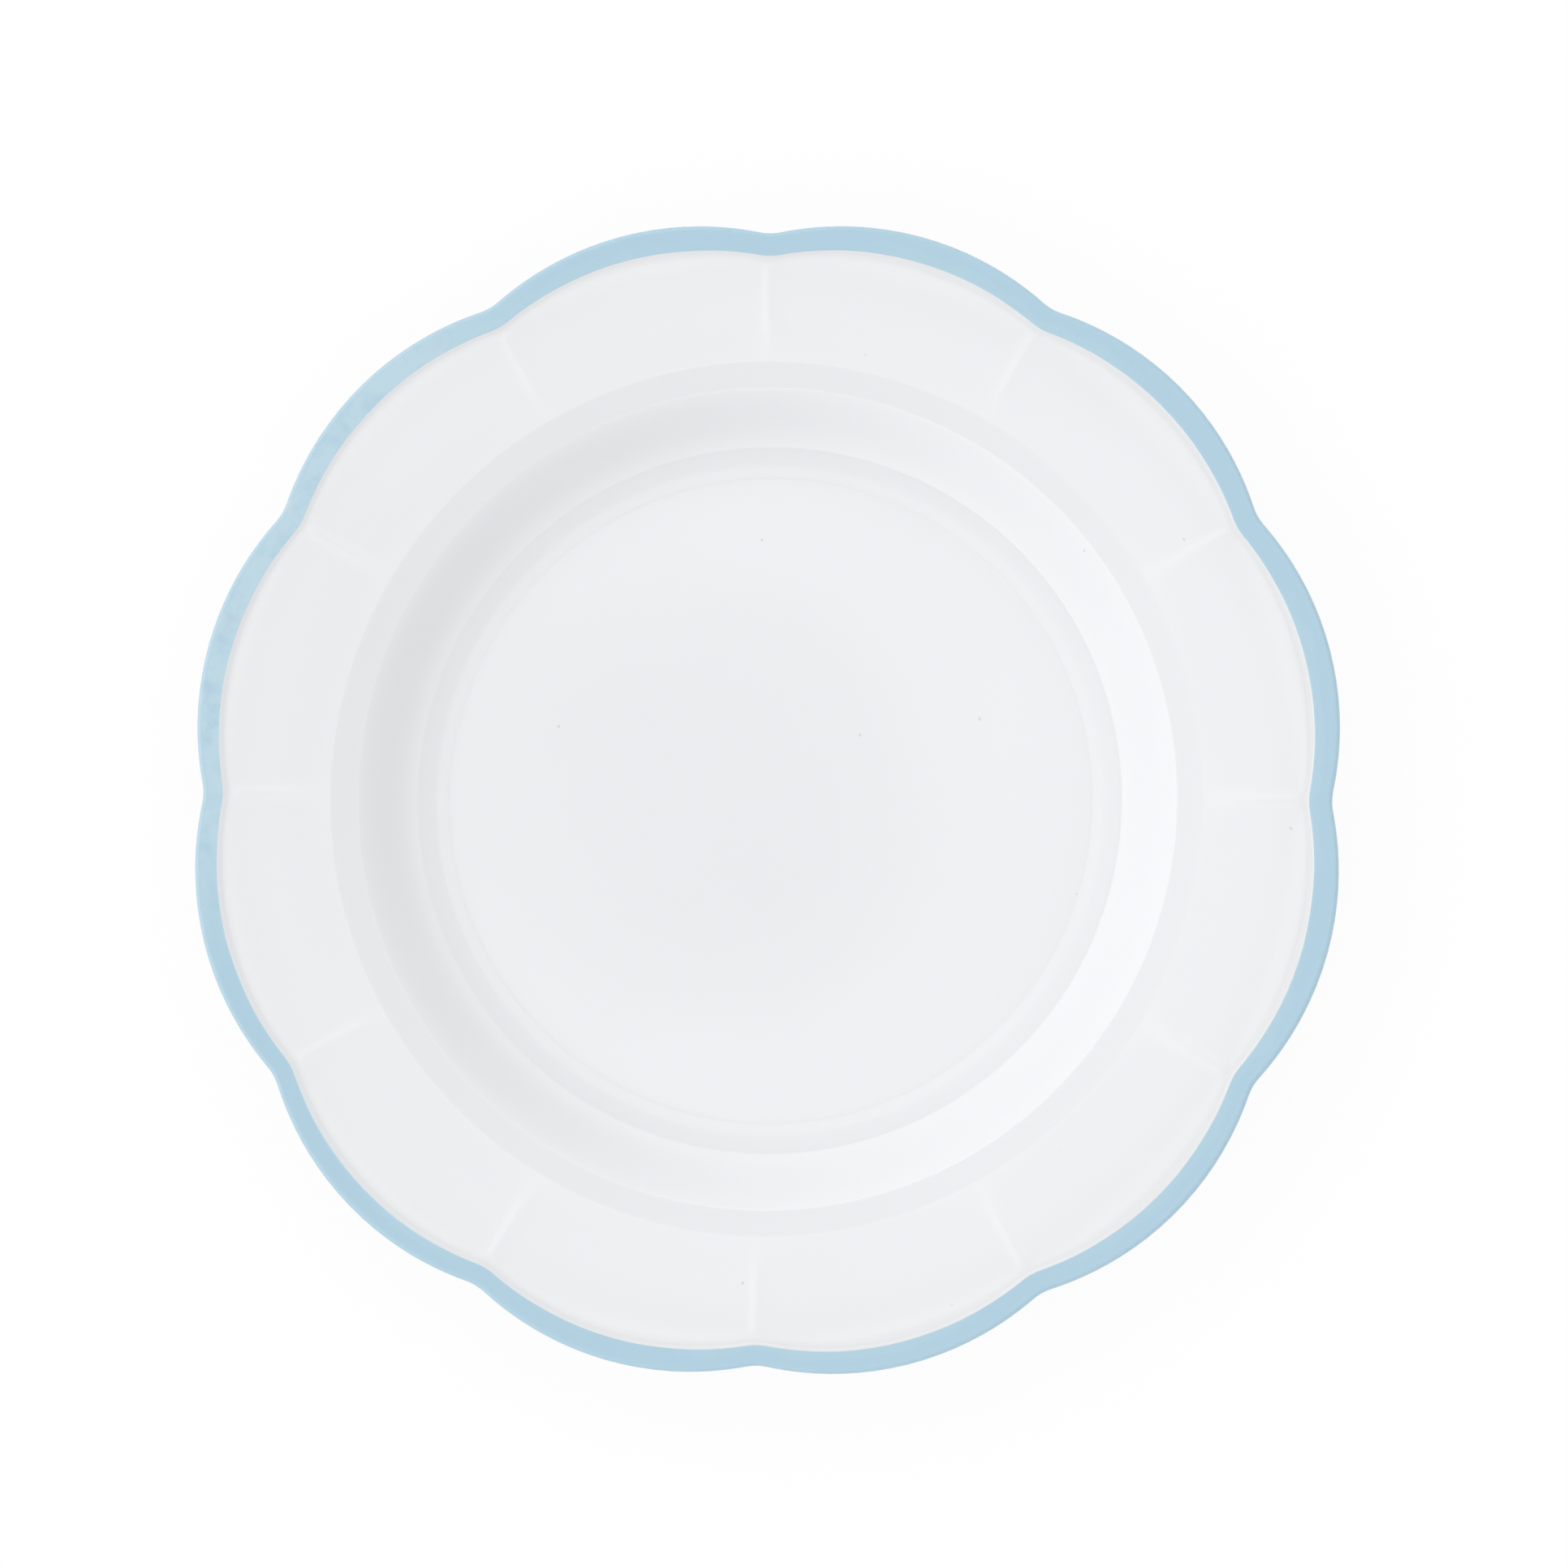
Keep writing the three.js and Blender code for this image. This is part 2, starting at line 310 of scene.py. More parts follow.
class Graph:
    """The node tree of a material or a world."""

    def __init__(self, owner):
        owner.use_nodes = True
        self.tree = owner.node_tree
        self.tree.nodes.clear()

    def node(self, kind, settings=None, sockets=None, output=0):
        """Adds a node, sets it up, fills or links its sockets, and returns one of its outputs."""
        made = self.tree.nodes.new(kind)
        for name, value in (settings or {}).items():
            if name == "stops":
                self.set_stops(made.color_ramp, value)
            else:
                setattr(made, name, value)
        for name, value in (sockets or {}).items():
            if isinstance(value, Link):
                self.tree.links.new(value.socket, made.inputs[name])
            else:
                made.inputs[name].default_value = value
        return Link(self, made.outputs[output]) if made.outputs else None

    def set_stops(self, ramp, stops):
        while len(ramp.elements) < len(stops):
            ramp.elements.new(1.0)
        for element, (place, grey) in zip(ramp.elements, stops):
            element.position = place
            element.color = (grey, grey, grey, 1)

    def place(self):
        """Where a point of the surface is, in metres in the plate's frame."""
        return self.node("ShaderNodeTexCoord", output="Object")

    def axis(self, vector, name):
        return self.node("ShaderNodeSeparateXYZ", None, {"Vector": vector}, name)

    def painted(self, name):
        """A value that the mesh holds at each of its points."""
        return self.node("ShaderNodeAttribute", {"attribute_name": name}, None, "Fac")

    def ray(self, kind):
        """1 for rays of a kind, 0 for others."""
        return self.node("ShaderNodeLightPath", None, None, f"Is {kind} Ray")

    def noise(self, place, size, detail=2.0, roughness=0.5):
        """Cloudy noise from 0 to 1, with patches of about the given size."""
        sockets = {"Vector": place, "Scale": 1 / size, "Detail": detail, "Roughness": roughness}
        return self.node("ShaderNodeTexNoise", None, sockets, "Fac")

    def step(self, value, low, high):
        """0 below low, 1 above high, smooth between them. Low may be above high."""
        sockets = {"Value": value, "From Min": low, "From Max": high}
        return self.node("ShaderNodeMapRange", {"interpolation_type": "SMOOTHSTEP"}, sockets)

    def blend(self, factor, first, second):
        """A colour between two colours."""
        sockets = {"Factor": factor, MIX_FIRST: opaque(first), MIX_SECOND: opaque(second)}
        return self.node("ShaderNodeMix", {"data_type": "RGBA"}, sockets, MIX_RESULT)

    def stretch(self, place, scale):
        """A place in which each direction is stretched by its own factor."""
        return self.node("ShaderNodeVectorMath", {"operation": "MULTIPLY"}, {0: place, 1: scale}, 0)

    def dot(self, first, second):
        settings = {"operation": "DOT_PRODUCT"}
        return self.node("ShaderNodeVectorMath", settings, {0: first, 1: tuple(second)}, "Value")

    def ramp(self, value, levels):
        """Light by angle. The value is a share of a right angle, and the levels go by degrees."""
        stops = [(degrees / 90, light) for degrees, light in levels]
        return self.node("ShaderNodeValToRGB", {"stops": stops}, {0: value})

    def bump(self, height, distance, strength=1.0):
        sockets = {"Height": height, "Distance": distance, "Strength": strength}
        return self.node("ShaderNodeBump", None, sockets)

    def finish(self, sockets):
        """The surface itself."""
        surface = self.node("ShaderNodeBsdfPrincipled", None, sockets)
        self.node("ShaderNodeOutputMaterial", None, {"Surface": surface})


def opaque(value):
    """A colour as Blender's sockets take it. A link stays as it is."""
    return value if isinstance(value, Link) else (*value, 1.0)


def point(radius, height):
    return np.array([radius, height])


def bend(start, corner, end):
    """Points of a bend that leaves start and reaches end along the two sides of corner."""
    t = np.linspace(0, 1, CURVE_POINTS)[:, None]
    return (1 - t) ** 2 * start + 2 * t * (1 - t) * corner + t**2 * end


def lengths_along(points):
    steps = np.linalg.norm(np.diff(points, axis=0), axis=1)
    return np.concatenate([[0], np.cumsum(steps)])


def evened(points):
    """The line, with its points at even steps."""
    along = lengths_along(points)
    even = np.linspace(0, along[-1], round(along[-1] / SECTION_STEP) + 1)
    return np.column_stack([np.interp(even, along, points[:, axis]) for axis in range(2)])


def averaged(values, reach):
    """Values along the line, each averaged with its neighbours within reach. The ends stay."""
    half = round(reach / SECTION_STEP)
    before = 2 * values[0] - values[half:0:-1]
    after = 2 * values[-1] - values[-2:-half - 2:-1]
    padded = np.concatenate([before, values, after])
    kernel = np.bartlett(2 * half + 1)
    return np.convolve(padded, kernel / kernel.sum(), "valid")


def eased(points, reach):
    """The line with its creases rounded."""
    return np.column_stack([averaged(points[:, axis], reach) for axis in range(2)])


def right_of(points):
    """Unit vectors to the right of the line's way: out of the clay, on a line that goes round it."""
    way = np.gradient(points, axis=0)
    way /= np.linalg.norm(way, axis=1)[:, None]
    return np.column_stack([way[:, 1], -way[:, 0]])


def turning(points):
    """How much the line turns at each point, in radians, positive to the left."""
    way = np.gradient(points, axis=0)
    return np.gradient(np.unwrap(np.arctan2(way[:, 1], way[:, 0])))


class Section:
    """The section of the clay body, from the middle of the base to the middle of the face.

    It runs along the base, round the foot, up the back, round the lip and in along the face.
    """

    def __init__(self, sizes):
        self.sizes = sizes
        self.plate_radius = fitted_radius(sizes)
        self.body_radius = self.plate_radius - glaze_thickness
        self.band_radius = self.plate_radius - sizes.band_width
        self.flank_radius = self.band_radius - sizes.flank_width
        self.ring_radius = sizes.floor_radius + sizes.ring_width
        self.wall_radius = self.ring_radius + sizes.wall_width
        self.shoulder_radius = self.wall_radius + sizes.shoulder_width
        self.foot_radius = foot_inner_radius + sizes.foot_width
        flat_face = sizes.floor_radius - sizes.turn_width
        flat_base = foot_inner_radius - sizes.base_slope
        self.flat_radius = min(flat_face, flat_base)
        self.band_height = lip_height - sizes.lip_rise
        self.rim_height = self.band_height - sizes.flank_rise
        self.shoulder_height = self.rim_height - sizes.rim_rise
        self.wall_height = self.shoulder_height - sizes.shoulder_rise
        self.ring_height = floor_height + sizes.ring_rise

        back = self.back_line()
        lines = {
            "base": self.base_line(),
            "foot": self.foot_line(),
            "back": back,
            "band": self.lip_line(back[-1]),
            "face": self.face_line()[::-1],
        }
        whole = evened(np.concatenate(list(lines.values())))
        ends = np.cumsum([lengths_along(line)[-1] for line in lines.values()])
        stops = [0, *np.round(ends / SECTION_STEP).astype(int)]
        stops[-1] = len(whole) - 1
        self.points = eased(whole, sizes.crease_reach)
        self.outward = right_of(self.points)
        curve = averaged(turning(self.points), HOLLOW_REACH) / SECTION_STEP
        self.hollow = np.clip(-curve / HOLLOW_CURVE, -1, 1)
        self.stretch = dict(zip(lines, zip(stops, stops[1:])))
        self.band_edge = self.stretch["face"][0]

    def wall_line(self):
        """The wall of the well: an S-curve, steeper in the middle than at its ends."""
        start = point(self.ring_radius, self.ring_height)
        end = point(self.wall_radius, self.wall_height)
        near_start = start + (end - start) / 3 * point(1, self.sizes.wall_foot_ease)
        near_end = end - (end - start) / 3 * point(1, self.sizes.wall_top_ease)
        t = np.linspace(0, 1, CURVE_POINTS)[:, None]
        ends = (1 - t) ** 3 * start + t**3 * end
        return ends + 3 * (1 - t) ** 2 * t * near_start + 3 * (1 - t) * t**2 * near_end

    def rim_line(self):
        """The rim, from the shoulder to the flank of the lip, bowed up a little."""
        start = point(self.shoulder_radius, self.shoulder_height)
        end = point(self.flank_radius, self.rim_height)
        return bend(start, (start + end) / 2 + point(0, 2 * self.sizes.rim_crown), end)

    def face_line(self):
        """The face, from its centre to the band."""
        sizes = self.sizes
        flat_end = point(sizes.floor_radius - sizes.turn_width, floor_height)
        corner = flat_end + point(sizes.turn_width * TURN_CORNER, 0)
        floor_turn = bend(flat_end, corner, point(sizes.floor_radius, floor_height + sizes.turn_rise))
        rim = self.rim_line()
        corner = rim[-1] + point(sizes.flank_width * FLANK_CORNER, 0)
        flank = bend(rim[-1], corner, point(self.band_radius, self.band_height))
        return np.vstack([point(0, floor_height), floor_turn, self.wall_line(), rim, flank[1:]])

    def base_line(self):
        flat_end = point(foot_inner_radius - self.sizes.base_slope, base_height)
        return np.vstack([point(0, base_height), flat_end, point(foot_inner_radius, bare_height)])

    def foot_line(self):
        inner = point(foot_inner_radius, bare_height)
        outer = point(self.foot_radius, bare_height)
        slope = point(self.sizes.foot_slope, -bare_height)
        return np.vstack([inner, inner + slope, outer + slope * point(-1, 1), outer])

    def back_line(self):
        """The back, from the foot to the band: the face moved by the body's thickness."""
        rim_start = point(self.shoulder_radius, self.shoulder_height)
        rim_end = point(self.flank_radius, self.rim_height)
        face = evened(np.vstack([self.wall_line(), rim_start, rim_end]))
        under = face + right_of(eased(face, self.sizes.body_thickness)) * self.sizes.body_thickness
        foot_top = point(self.foot_radius, bare_height)
        corner = point(self.foot_radius, (bare_height + under[0, 1]) / 2)
        nose_bottom = self.nose_centre() + point(0, self.sizes.nose_drop - self.sizes.body_thickness)
        way = under[-1] - nose_bottom
        band_end = nose_bottom + way / np.linalg.norm(way) * self.sizes.band_tuck
        return np.vstack([bend(foot_top, corner, under[0]), under[1:-1], band_end])

    def nose_centre(self):
        return point(self.body_radius - self.sizes.nose_reach, lip_height - self.sizes.nose_drop)

    def lip_line(self, start):
        """The lip under the band: its underside, its rounded edge and its crown."""
        sizes = self.sizes
        turn = np.linspace(-math.pi / 2, math.pi / 2, CURVE_POINTS)
        height = np.where(turn > 0, sizes.nose_drop, sizes.body_thickness - sizes.nose_drop)
        bulge = np.column_stack([sizes.nose_reach * np.cos(turn), height * np.sin(turn)])
        band_edge = point(self.band_radius, self.band_height)
        return np.vstack([start, self.nose_centre() + bulge, band_edge])


def notch_dip(sizes, plate_radius, from_notch):
    """How far the plate's edge lies inside the circle round the lobes, at angles from a notch."""
    half_pitch = math.pi / sizes.lobe_count
    lobe_centre = plate_radius - sizes.lobe_radius
    lobe_along = lobe_centre * math.cos(half_pitch)
    lobe_across = lobe_centre * math.sin(half_pitch)
    centres_apart = sizes.lobe_radius + sizes.notch_radius
    notch_centre = lobe_along + math.sqrt(centres_apart**2 - lobe_across**2)
    part = sizes.lobe_radius / centres_apart
    tangent_along = lobe_along + (notch_centre - lobe_along) * part
    tangent_angle = math.atan2(lobe_across * (1 - part), tangent_along)
    along = notch_centre * np.cos(np.minimum(from_notch, tangent_angle))
    notch = along - np.sqrt(sizes.notch_radius**2 - notch_centre**2 + along**2)
    along = lobe_centre * np.cos(half_pitch - from_notch)
    lobe = along + np.sqrt(sizes.lobe_radius**2 - lobe_centre**2 + along**2)
    return plate_radius - np.where(from_notch < tangent_angle, notch, lobe)


def column_angles(sizes):
    """Angles of the columns of faces, crowded together at each notch."""
    pitch = 2 * math.pi / sizes.lobe_count
    step = np.arange(COLUMNS_PER_LOBE) / COLUMNS_PER_LOBE
    within = pitch * (step - NOTCH_CROWDING * np.sin(2 * math.pi * step) / (2 * math.pi))
    return (np.arange(sizes.lobe_count)[:, None] * pitch + within).ravel()


def angles_from_notch(sizes, angles):
    pitch = 2 * math.pi / sizes.lobe_count
    return np.abs(angles - pitch * np.round(angles / pitch))


def fitted_radius(sizes):
    """The radius of the circle round the lobes that makes the plate as wide as the solids."""
    angles = column_angles(sizes)
    from_notch = angles_from_notch(sizes, angles)
    radius = frame_reach
    for _ in range(FIT_ROUNDS):
        reach = np.max((radius - notch_dip(sizes, radius, from_notch)) * np.cos(angles))
        radius += frame_reach - reach
    return radius


def ridge_lift(section, radius, from_notch):
    """How high a ridge stands at radii of the section and angles from its notch."""
    sizes = section.sizes
    across = np.minimum(np.abs(radius * np.sin(from_notch)) / sizes.ridge_width, 0.5)
    rise = smooth_step((radius - section.shoulder_radius) / sizes.ridge_fade)
    fall = smooth_step((section.flank_radius - radius) / sizes.ridge_stop)
    return sizes.ridge_height * np.cos(math.pi * across) ** 2 * rise * fall


def smooth_step(value):
    value = np.clip(value, 0, 1)
    return value * value * (3 - 2 * value)


def brush_path(sizes, angles):
    """How far the painter's brush strays from the middle of its path, round the plate."""
    # Waves round the plate, the angle at which they start, and their height
    waves = ((3, 0.4, 1.0), (7, 2.1, 0.7), (13, 4.0, 0.5), (29, 1.3, 0.35), (53, 5.2, 0.2))
    total = sum(part * np.sin(count * angles + start) for count, start, part in waves)
    wander = sizes.brush_wander * total / sum(part for _, _, part in waves)
    return wander + sizes.brush_offset * np.cos(angles - sizes.brush_side)


def chosen_rows(section, points, longest, sharpest):
    """Indexes of the rows that a line needs, closer together where it bends."""
    steps = np.diff(lengths_along(points))
    flat = points[1:, 0] < section.flat_radius
    measure = steps / np.where(flat, max(longest, FLAT_ROW), longest)
    measure += np.abs(turning(points))[1:] / sharpest
    total = np.concatenate([[0], np.cumsum(measure)])
    marks = np.linspace(0, total[-1], math.ceil(total[-1]) + 1)
    return np.unique(np.searchsorted(total, marks - TINY))


def coat_rows(section, name, free_start, free_end):
    """Rows of a coat of glaze: its skin, then the clay under it, the other way round."""
    first, last = section.stretch[name]
    index = np.arange(first, last + 1)
    along = (index - first) * SECTION_STEP
    thickness = np.full(len(index), glaze_thickness)
    if free_start:
        thickness *= bead_shape(along / section.sizes.bead_width)
    if free_end:
        thickness *= bead_shape(along[::-1] / section.sizes.bead_width)
    skin = section.points[index] + section.outward[index] * thickness[:, None]
    under = section.points[index]
    skin_rows = chosen_rows(section, skin, BENT_ROW, ROW_TURN)
    under_rows = chosen_rows(section, under, HIDDEN_ROW, HIDDEN_TURN)[::-1]
    if free_start:
        under_rows = under_rows[:-1]
    if free_end:
        under_rows = under_rows[1:]
    points = np.vstack([skin[skin_rows], under[under_rows]])
    return points, np.concatenate([index[skin_rows], index[under_rows]])


def bead_shape(share_of_width):
    """Height of a rounded edge, from 0 at the edge to 1 where it is full."""
    inside = 1 - np.clip(share_of_width, 0, 1)
    return np.sqrt(1 - inside**2)


def body_rows(section):
    """Rows of the clay body: fine on the bare foot, and few where glaze covers it."""
    index = []
    for name, (first, last) in section.stretch.items():
        longest, sharpest = (BENT_ROW, ROW_TURN) if name == "foot" else (HIDDEN_ROW, HIDDEN_TURN)
        rows = chosen_rows(section, section.points[first:last + 1], longest, sharpest)
        index.extend(first + rows[:-1])
    index.append(len(section.points) - 1)
    return section.points[index], np.array(index)


def turned_mesh(name, section, points, index):
    """Turns a closed line of rows round the axis, draws the rim in to the lobes and lifts the ridges.

    A row on the axis becomes one point.
    """
    sizes = section.sizes
    angles = column_angles(sizes)
    from_notch = angles_from_notch(sizes, angles)
    dip = notch_dip(sizes, section.plate_radius, from_notch)
    wander = brush_path(sizes, angles)
    first_face = section.stretch["face"][0]

    vertices = []
    rows = []
    hollow = []
    along = []
    for (radius, height), place in zip(points, index):
        on_axis = radius < TINY
        if on_axis:
            rows.append([len(vertices)])
            vertices.append((0, 0, height))
        else:
            near_edge = math.exp(-((place - first_face) * SECTION_STEP / sizes.brush_reach) ** 2)
            way = point(-section.outward[place, 1], section.outward[place, 0])
            shift = near_edge * wander
            rim_width = section.body_radius - section.shoulder_radius
            rim_share = (radius - section.shoulder_radius) / rim_width
            reach = radius - dip * np.clip(rim_share, 0, 1) + shift * way[0]
            lift = ridge_lift(section, radius, from_notch) if place >= first_face else 0
            top = height + lift + shift * way[1]
            rows.append(list(range(len(vertices), len(vertices) + len(angles))))
            ring = np.column_stack([reach * np.cos(angles), reach * np.sin(angles), top + 0 * angles])
            vertices.extend(map(tuple, ring))
        count = len(rows[-1])
        hollow.extend([section.hollow[place]] * count)
        along.extend([place * SECTION_STEP] * count)

    faces = []
    for low, high in zip(rows, rows[1:] + rows[:1]):
        faces.extend(joined(low, high))
    mesh = bpy.data.meshes.new(name)
    mesh.from_pydata(vertices, [], faces)
    for label, values in (("hollow", hollow), ("along", along)):
        mesh.attributes.new(label, "FLOAT", "POINT").data.foreach_set("value", values)
    mesh.shade_smooth()
    mesh.set_sharp_from_angle(angle=SHARP_ANGLE)
    mesh.validate()
    return mesh


def joined(low, high):
    """Faces between two rows, either of which may be a single point on the axis."""
    count = max(len(low), len(high))
    if count == 1:
        return []
    following = [(column + 1) % count for column in range(count)]
    if len(low) == 1:
        return [(low[0], high[after], high[column]) for column, after in enumerate(following)]
    if len(high) == 1:
        return [(low[column], low[after], high[0]) for column, after in enumerate(following)]
    return [
        (low[column], low[after], high[after], high[column]) for column, after in enumerate(following)
    ]


def add_piece(name, mesh, material, node):
    """Puts a mesh in the scene in place of its solid."""
    piece = bpy.data.objects.new(name, mesh)
    bpy.context.scene.collection.objects.link(piece)
    mesh.materials.append(material)
    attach(piece, BODY)
    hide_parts(node)


def white_glaze(name, looks, section):
    """White glaze: glossy, cooler where it lies thick, with painted shade in its creases and beside the
    band, and a few specks.
    """
    material = bpy.data.materials.new(name)
    graph = Graph(material)
    place = graph.place()
    cloud = graph.noise(place, THICK_PATCH, detail=3)
    # Glaze pooling and painted shade in the creases, where the section is hollow
    pool_and_shade = graph.step(graph.painted("hollow"), 0.0, 1.0)
    thick = graph.step(cloud, 0.35, 0.75) * 0.15 + pool_and_shade * 0.1
    tone = graph.blend(thick, looks.white, looks.white_thick_and_shaded)
    # Painted shade in the hollow flank beside the band: darker close to it, a little darker further off
    from_band = graph.painted("along") - section.band_edge * SECTION_STEP
    band_flank_shade = graph.step(from_band, FLANK_SHADE_EDGE, 0.2 * MM)
    band_flank_shade_wide = graph.step(from_band, FLANK_SHADE_FADE, 2 * MM)
    on_face = graph.step(from_band, -0.1 * MM, 0.0)
    tone = graph.blend((band_flank_shade * 0.8 + band_flank_shade_wide * 0.2) * on_face, tone, looks.white_flank_shade)

    flat = {"voronoi_dimensions": "2D"}
    cells = {"Vector": place, "Scale": 1 / SPECK_CELL}
    distance = graph.node("ShaderNodeTexVoronoi", flat, cells, "Distance")
    lottery = graph.node("ShaderNodeTexVoronoi", flat, cells, "Color")
    drawn = graph.axis(lottery, "X")
    holds_speck = graph.step(drawn, 1 - SPECK_CHANCE - 0.01, 1 - SPECK_CHANCE + 0.01)
    size = graph.axis(lottery, "Y") * SPECK_SPREAD + SPECK_RADIUS
    dents = (graph.noise(place, SPECK_GRAIN, detail=1) - 0.5) * SPECK_UNEVEN
    speck = holds_speck * graph.step(distance + dents, size * 1.4, size * 0.5)
    tone = graph.blend(speck * 0.4, tone, looks.speck)

    peel = graph.noise(place, PEEL_WAVE, detail=2)
    smudge = graph.noise(place, SMUDGE_PATCH, detail=3)
    graph.finish({
        "Base Color": tone,
        "Roughness": smudge * 0.04 + (looks.white_roughness - 0.02) + speck * 0.2,
        "IOR": GLAZE_IOR,
        "Normal": graph.bump(peel - speck * 6.0, PEEL_DEPTH, 0.25),
    })
    return material


def blue_glaze(name, looks, section):
    """Blue glaze, brushed on: cloudy and thin here and there along its inner edge, painted paler on the side
    toward the window, with a painted highlight there.
    """
    material = bpy.data.materials.new(name)
    graph = Graph(material)
    place = graph.place()
    across = graph.painted("along")
    from_edge = section.band_edge * SECTION_STEP - across
    # Painted light: the band is paler on the side toward the window, short of the lip's outer edge
    toward_painted_light = graph.dot(place, direction(looks.painted_light_side, 0)) / section.plate_radius
    painted_light_side = graph.step(toward_painted_light, 0.68, 0.92) * graph.step(from_edge, 7 * MM, 4.5 * MM)

    wash = graph.noise(place, WASH_PATCH, detail=3)
    patch = graph.step(graph.noise(place, THIN_PATCH, detail=1), 0.46, 0.58)
    inner = graph.step(from_edge - (wash - 0.5) * WASH_SHIFT, 3.2 * MM, 1.8 * MM)
    # Pale where the inner edge is thin at random, plus painted light on the side toward the window
    thin = inner * patch * 0.25 + painted_light_side
    tone = graph.blend(thin, looks.blue, looks.blue_pale)
    cloud = graph.step(graph.noise(place, DEEP_CLOUD, detail=4, roughness=0.6), 0.45, 0.72)
    # The clouds are stronger on the side of the painted light
    tone = graph.blend(cloud * (painted_light_side * 0.5 + 0.15), tone, looks.blue_deep)
    # Painted highlight: whitish patches on the outer part of the band, on the side toward the window
    painted_glint = graph.step(graph.noise(place, GLINT_PATCH, detail=3), 0.56, 0.72)
    painted_glint = painted_glint * painted_light_side * graph.step(from_edge, 2.5 * MM, 7 * MM)
    tone = graph.blend(painted_glint * 0.4, tone, looks.white)

    side = graph.axis(place, "X") * STREAKS_ROUND
    ahead = graph.axis(place, "Y") * STREAKS_ROUND
    sockets = {"X": side, "Y": ahead, "Z": across * STREAKS_ACROSS}
    stroke = graph.node("ShaderNodeCombineXYZ", None, sockets)
    streak = graph.noise(stroke, 1.0, detail=2)
    graph.finish({
        "Base Color": tone,
        "Roughness": streak * 0.05 + looks.blue_roughness,
        "IOR": GLAZE_IOR,
        "Normal": graph.bump(streak, STREAK_DEPTH, 0.3),
    })
    return material


def bare_clay(name, looks):
    """Fired clay: matt and sandy, stained where the foot has stood on shelves and tables."""
    material = bpy.data.materials.new(name)
    graph = Graph(material)
    place = graph.place()
    grain = graph.noise(place, CLAY_GRAIN, detail=4, roughness=0.7)
    stain = graph.step(graph.noise(place, CLAY_STAIN, detail=3), 0.45, 0.75)
    height = graph.axis(place, "Z")
    worn = graph.step(height, WORN_HEIGHT, 0.0)
    dark = graph.step(grain, 0.58, 0.78) * 0.5 + stain * 0.25 + worn * 0.15
    graph.finish({
        "Base Color": graph.blend(dark, looks.clay, looks.clay_dark),
        "Roughness": looks.clay_roughness - worn * 0.12,
        "Normal": graph.bump(grain, GRAIN_DEPTH, 0.5),
    })
    return material


def add_coat(section, node, stretch, material, free_start=False, free_end=False):
    """Builds one field of glaze in place of its solid. A free end runs out in a rounded edge."""
    points, index = coat_rows(section, stretch, free_start, free_end)
    mesh = turned_mesh(node + "_fine", section, points, index)
    add_piece(node + "_fine", mesh, material, node)


class PLATE_OT_ceramic_body(bpy.types.Operator):
    """Build the fired clay body, bare on its foot"""

    bl_idname = "plate.ceramic_body"
    bl_label = "Clay body"

    def execute(self, context):
        section = Section(context.scene.plate_sizes)
        points, index = body_rows(section)
        mesh = turned_mesh("ceramic_body_fine", section, points, index)
        material = bare_clay("fired_clay", context.scene.plate_looks)
        add_piece("ceramic_body_fine", mesh, material, "ceramic_body")
        return {"FINISHED"}


class PLATE_OT_face_glaze(bpy.types.Operator):
    """Build the white glaze of the eating face"""

    bl_idname = "plate.face_glaze"
    bl_label = "Face glaze"

    def execute(self, context):
        section = Section(context.scene.plate_sizes)
        material = white_glaze("face_glaze_white", context.scene.plate_looks, section)
        add_coat(section, "face_glaze", "face", material)
        return {"FINISHED"}


class PLATE_OT_rim_band(bpy.types.Operator):
    """Build the coloured band that wraps the lip"""

    bl_idname = "plate.rim_band"
    bl_label = "Rim band"

    def execute(self, context):
        section = Section(context.scene.plate_sizes)
        material = blue_glaze("rim_band_blue", context.scene.plate_looks, section)
        add_coat(section, "rim_band", "band", material)
        return {"FINISHED"}


class PLATE_OT_back_glaze(bpy.types.Operator):
    """Build the white glaze of the back, with a rounded edge above the foot"""

    bl_idname = "plate.back_glaze"
    bl_label = "Back glaze"

    def execute(self, context):
        section = Section(context.scene.plate_sizes)
        material = white_glaze("back_glaze_white", context.scene.plate_looks, section)
        add_coat(section, "back_glaze", "back", material, free_start=True)
        return {"FINISHED"}


class PLATE_OT_base_glaze(bpy.types.Operator):
    """Build the white glaze of the hollow base, with a rounded edge above the foot"""

    bl_idname = "plate.base_glaze"
    bl_label = "Base glaze"

    def execute(self, context):
        section = Section(context.scene.plate_sizes)
        material = white_glaze("base_glaze_white", context.scene.plate_looks, section)
        add_coat(section, "base_glaze", "base", material, free_end=True)
        return {"FINISHED"}


def direction(azimuth, elevation):
    """Unit vector to a side, from +X, and a height above the horizon."""
    across = math.cos(elevation)
    return Vector((across * math.cos(azimuth), across * math.sin(azimuth), math.sin(elevation)))


def add_camera(settings):
    """The camera, almost straight above the plate."""
    back = direction(settings.camera_azimuth, math.pi / 2 - settings.camera_lean)
    upright = Vector((-math.sin(settings.camera_roll), math.cos(settings.camera_roll), 0))
    right = upright.cross(back).normalized()
    up = back.cross(right)
    data = bpy.data.cameras.new("studio_camera")
    data.lens = data.sensor_width * settings.camera_distance / settings.picture_width
    data.shift_x = 0.5 - settings.aim_right
    data.shift_y = settings.aim_down - 0.5
    camera = bpy.data.objects.new("studio_camera", data)
    place = Vector((0, 0, settings.aim_height)) + back * settings.camera_distance
    camera.matrix_world = Matrix.Translation(place) @ Matrix((right, up, back)).transposed().to_4x4()
    bpy.context.scene.collection.objects.link(camera)
    bpy.context.scene.camera = camera


